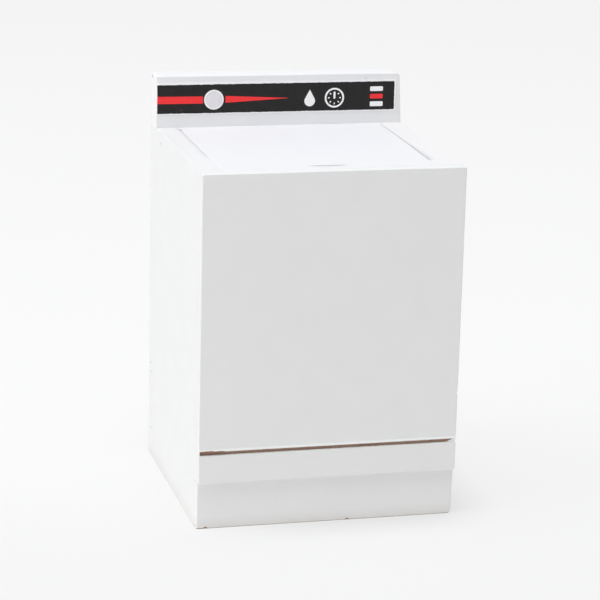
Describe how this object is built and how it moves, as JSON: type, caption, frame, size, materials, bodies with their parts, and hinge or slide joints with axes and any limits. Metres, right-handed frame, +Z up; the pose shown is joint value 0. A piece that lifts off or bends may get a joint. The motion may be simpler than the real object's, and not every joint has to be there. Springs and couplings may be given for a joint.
{
  "type": "toy washing machine",
  "caption": "Dolls'-house top-loading washing machine with a pinned lid, a backsplash with a printed control strip, a recessed plinth, and a tub with an agitator inside.",
  "frame": {"origin": "centre of the underside, on the surface that it stands on", "axes": "+Z up; -Y out of the front panel; +X to the machine's right as seen from the front; the lid turns about an axis along X"},
  "size_m": [0.057, 0.0556, 0.0892],
  "materials": {
    "painted_mdf": "satin white paint on MDF",
    "raw_mdf": "sawn MDF, unpainted",
    "printed_paper": "printed, varnished paper",
    "white_plastic": "moulded",
    "blue_plastic": "moulded",
    "steel_wire": "drawn wire, cut ends"
  },
  "bodies": {
    "cabinet": {"side_panel_left": "painted_mdf", "side_panel_right": "painted_mdf", "front_panel": "painted_mdf", "lower_front_strip": "painted_mdf", "plinth_board": "painted_mdf", "back_panel": "painted_mdf", "base_board": "raw_mdf", "backsplash": "painted_mdf", "control_label": "printed_paper", "front_top_rail": "painted_mdf", "rear_top_rail": "painted_mdf", "lid_rest_strip": "painted_mdf", "tub_deck": "painted_mdf", "deck_cleat_left": "raw_mdf", "deck_cleat_right": "raw_mdf", "tub": "white_plastic", "agitator": "blue_plastic", "hinge_pin_left": "steel_wire", "hinge_pin_right": "steel_wire"},
    "lid": {"lid_board": "painted_mdf"}
  },
  "joints": [
    {"name": "lid_hinge", "type": "hinge", "parent": "cabinet", "child": "lid", "pos_m": [0, 0.017, 0.0751], "axis": [-1, 0, 0], "range_deg": [0, 94]}
  ]
}
